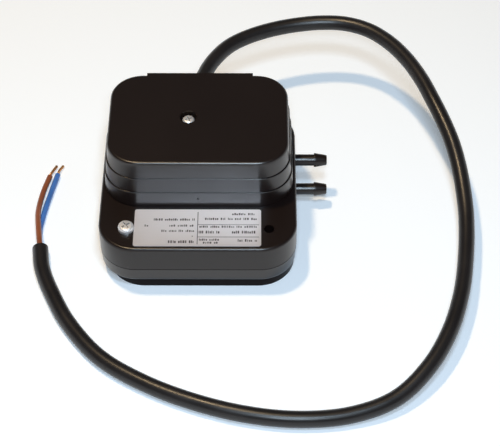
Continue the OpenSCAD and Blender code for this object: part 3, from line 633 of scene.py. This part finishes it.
def boot_profile(length, collar, bore):
    """The boot from its inner flange to its tail, as (distance along it, radius) pairs."""
    flange = collar - 0.5 * MM
    flange_end = 1.8 * MM
    neck = collar - 1.6 * MM
    wall = 5.5 * MM
    edge = 0.2 * MM
    collar_end = wall + 1.3 * MM
    tail = collar - 1.1 * MM
    tail_edge = 0.4 * MM
    first_rib = wall + 2.0 * MM
    tip_wall = 0.6 * MM
    groove = 0.6 * MM
    profile = [(0, bore), (0, flange), (flange_end, flange), (flange_end, neck), (wall, neck),
               (wall, collar - edge), (wall + edge, collar), (collar_end, collar),
               (collar_end + tail_edge, tail)]
    ribs = 4
    pitch = (length - first_rib - edge) / ribs
    for i in range(ribs):
        a = first_rib + i * pitch
        r = tail - (tail - bore - 0.8 * MM) * (i + 0.5) / ribs
        profile += [(a, r), (a + pitch * 0.55, r - 0.1 * MM),
                    (a + pitch * 0.62, r - groove), (a + pitch * 0.93, r - groove)]
    return [*profile, (length, bore + tip_wall), (length, bore), (0, bore)]


class SWITCH_OT_housing(bpy.types.Operator):
    """Finish the mouldings of the housing and its two hose nozzles"""

    bl_idname = "pressure_switch.housing"
    bl_label = "Housing mouldings"

    def execute(self, context):
        for node_name in ("lower_shell", "upper_shell", "switch_frame", "cover",
                          "low_nozzle", "high_nozzle"):
            dress(node_name, node_name + "_moulding")
        return {"FINISHED"}


class SWITCH_OT_screws(bpy.types.Operator):
    """Finish the screws that can be seen, with painted shade in their cross recesses"""

    bl_idname = "pressure_switch.screws"
    bl_label = "Screws"

    def execute(self, context):
        for node_name in ("cover_screw", "housing_screws"):
            screw = dress(node_name, node_name + "_plated")
            # The second material paints shade into the cross recesses
            screw.data.materials.append(finish_for("zinc_recess"))
            paint_recess_shade(screw.data)
        return {"FINISHED"}


def paint_recess_shade(mesh):
    """Give the walls and floors of the cross recesses the mesh's second material, a darker zinc
    that is painted shade.
    """
    top = max(v.co.z for v in mesh.vertices)
    for face in mesh.polygons:
        upright = abs(face.normal.z) < 0.05
        level = face.normal.z > 0.99
        depth = (top - face.center.z) / HEAD_HEIGHT
        sunk = upright or (level and depth > RECESS_DEPTHS[0])
        if sunk and depth < RECESS_DEPTHS[1] and face.area < RECESS_FACE:
            face.material_index = 1


class SWITCH_OT_plate(bpy.types.Operator):
    """Finish the rating plate and print its rules and generic rows of marks"""

    bl_idname = "pressure_switch.plate"
    bl_label = "Rating plate"

    def execute(self, context):
        dress("rating_plate", "rating_plate_foil")
        low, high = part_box("rating_plate")
        print_h = context.scene.switch_sizes.print_height
        bm = bmesh.new()
        for x0, x1, y0, y1 in plate_marks():
            centre = Vector(((x0 + x1) / 2, (y0 + y1) / 2, 0)) * MM
            centre += Vector(((low.x + high.x) / 2, low.y, high.z + print_h / 2))
            place = Matrix.Translation(centre) @ Matrix.Diagonal(
                ((x1 - x0) * MM, (y1 - y0) * MM, print_h, 1))
            bmesh.ops.create_cube(bm, size=1, matrix=place)
        new_piece("rating_plate_print", mesh_from(bm, "rating_plate_print"), "print")
        return {"FINISHED"}


def plate_marks():
    """Boxes (x0, x1, y0, y1) in millimetres from the middle of the plate's front edge."""
    rng = random.Random(11)
    marks = list(PRINT_RULES)
    for x0, x1, y, tall in PRINT_ROWS:
        x = x0
        while x < x1:
            for _ in range(rng.choice(GROUP_BLOCKS)):
                wide = min(rng.choice(BLOCK_WIDTHS), x1 - x)
                if wide < LEAST_BLOCK:
                    break
                cut = tall * rng.choice(BLOCK_CUTS)
                marks.append((x, x + wide, y - tall / 2, y + tall / 2 - cut))
                x += wide + rng.choice(BLOCK_GAPS)
            x += GROUP_SPACE
    return marks


class SWITCH_OT_inner_parts(bpy.types.Operator):
    """Give every solid that keeps its own shape its material"""

    bl_idname = "pressure_switch.inner_parts"
    bl_label = "Inner parts"

    def execute(self, context):
        for node_name, node in frame["nodes"].items():
            node.data.materials.clear()
            node.data.materials.append(finish_for(node_slot(node_name)))
        return {"FINISHED"}


class SWITCH_OT_stage(bpy.types.Operator):
    """Lay the pale floor and set the soft light"""

    bl_idname = "pressure_switch.stage"
    bl_label = "Stage"

    def execute(self, context):
        studio = context.scene.switch_studio
        bm = bmesh.new()
        bmesh.ops.create_grid(bm, x_segments=1, y_segments=1, size=FLOOR_SIZE)
        floor = bpy.data.objects.new("floor", mesh_from(bm, "floor"))
        floor.location.z = -FLOOR_DROP
        floor.data.materials.append(floor_finish())
        context.scene.collection.objects.link(floor)
        set_world(context.scene)
        for name, place, size, power, colour in LAMPS:
            add_lamp(name, place, size, getattr(studio, power), colour)
        context.scene.view_settings.view_transform = "Standard"
        return {"FINISHED"}


def background_rays(tree):
    """1 for rays that come straight from the camera, a mirror or glass."""
    path = add_node(tree, "ShaderNodeLightPath")
    total = path.outputs["Is Camera Ray"]
    for name in ("Is Glossy Ray", "Is Transmission Ray"):
        total = add_node(tree, "ShaderNodeMath", {0: total, 1: path.outputs[name]},
                         operation="MAXIMUM").outputs[0]
    return total


def floor_finish():
    """Matt white floor that keeps the shadow and is nearly white where it is seen."""
    material, tree, bsdf = shader("floor_white")
    bsdf.inputs["Base Color"].default_value = (0.86, 0.89, 0.95, 1)
    bsdf.inputs["Roughness"].default_value = 0.9
    bsdf.inputs["Specular IOR Level"].default_value = 0.0
    bsdf.inputs["Emission Color"].default_value = (0.85, 0.96, 1.0, 1)
    reach = add_node(tree, "ShaderNodeVectorMath", {"Vector": object_point(tree)},
                     operation="LENGTH").outputs["Value"]
    lift = add_node(tree, "ShaderNodeMath", {
        0: background_rays(tree), 1: remap(tree, reach, *FLOOR_LIFT, *FLOOR_REACH)},
        operation="MULTIPLY")
    tree.links.new(lift.outputs[0], bsdf.inputs["Emission Strength"])
    return material


def set_world(scene):
    """Pale at the horizon and dark overhead, and plain white where the camera sees it."""
    world = bpy.data.worlds.new("studio")
    world.use_nodes = True
    tree = world.node_tree
    direction = add_node(tree, "ShaderNodeTexCoord").outputs["Generated"]
    height = add_node(tree, "ShaderNodeSeparateXYZ", {"Vector": direction}).outputs["Z"]
    ramp = add_node(tree, "ShaderNodeValToRGB", {"Fac": height})
    for step, (position, colour) in zip(ramp.color_ramp.elements, (HORIZON, CEILING)):
        step.position = position
        step.color = colour
    seen = add_node(tree, "ShaderNodeLightPath").outputs["Is Camera Ray"]
    tree.links.new(blend_colour(tree, seen, ramp.outputs["Color"], (1, 1, 1, 1)),
                   tree.nodes["Background"].inputs["Color"])
    scene.world = world


def add_lamp(name, place, size, power, colour):
    """A square area lamp that looks at the middle of the part."""
    data = bpy.data.lights.new(name, "AREA")
    data.size = size
    data.color = colour
    data.energy = power
    lamp = bpy.data.objects.new(name, data)
    lamp.location = place
    aim = Vector(LAMP_TARGET) - Vector(place)
    lamp.rotation_euler = aim.to_track_quat("-Z", "Y").to_euler()
    bpy.context.scene.collection.objects.link(lamp)


class SWITCH_PT_panel(bpy.types.Panel):
    """Sidebar panel with the sizes, the colours and the operators"""

    bl_idname = "SWITCH_PT_panel"
    bl_label = "Pressure switch"
    bl_space_type = "VIEW_3D"
    bl_region_type = "UI"
    bl_category = "Switch"

    def draw(self, context):
        for group in (context.scene.switch_sizes, context.scene.switch_colours,
                      context.scene.switch_studio):
            box = self.layout.box()
            for key in group.__annotations__:
                box.prop(group, key)
        for operator in OPERATORS:
            self.layout.operator(operator.bl_idname)


OPERATORS = (
    SWITCH_OT_camera, SWITCH_OT_cable, SWITCH_OT_cores, SWITCH_OT_boot, SWITCH_OT_housing,
    SWITCH_OT_screws, SWITCH_OT_plate, SWITCH_OT_inner_parts, SWITCH_OT_stage,
)
GROUPS = {"switch_sizes": SwitchSizes, "switch_colours": SwitchColours,
          "switch_studio": SwitchStudio}


def register():
    for group in (*GROUPS.values(), *OPERATORS, SWITCH_PT_panel):
        bpy.utils.register_class(group)
    for name, group in GROUPS.items():
        setattr(bpy.types.Scene, name, PointerProperty(type=group))


def unregister():
    for name in GROUPS:
        delattr(bpy.types.Scene, name)
    for group in (SWITCH_PT_panel, *reversed(OPERATORS), *reversed(GROUPS.values())):
        bpy.utils.unregister_class(group)


def main():
    register()
    bpy.ops.pressure_switch.camera()
    bpy.ops.pressure_switch.cable()
    bpy.ops.pressure_switch.cores()
    bpy.ops.pressure_switch.boot()
    bpy.ops.pressure_switch.housing()
    bpy.ops.pressure_switch.screws()
    bpy.ops.pressure_switch.plate()
    bpy.ops.pressure_switch.inner_parts()
    bpy.ops.pressure_switch.stage()


if __name__ == "__main__":
    main()
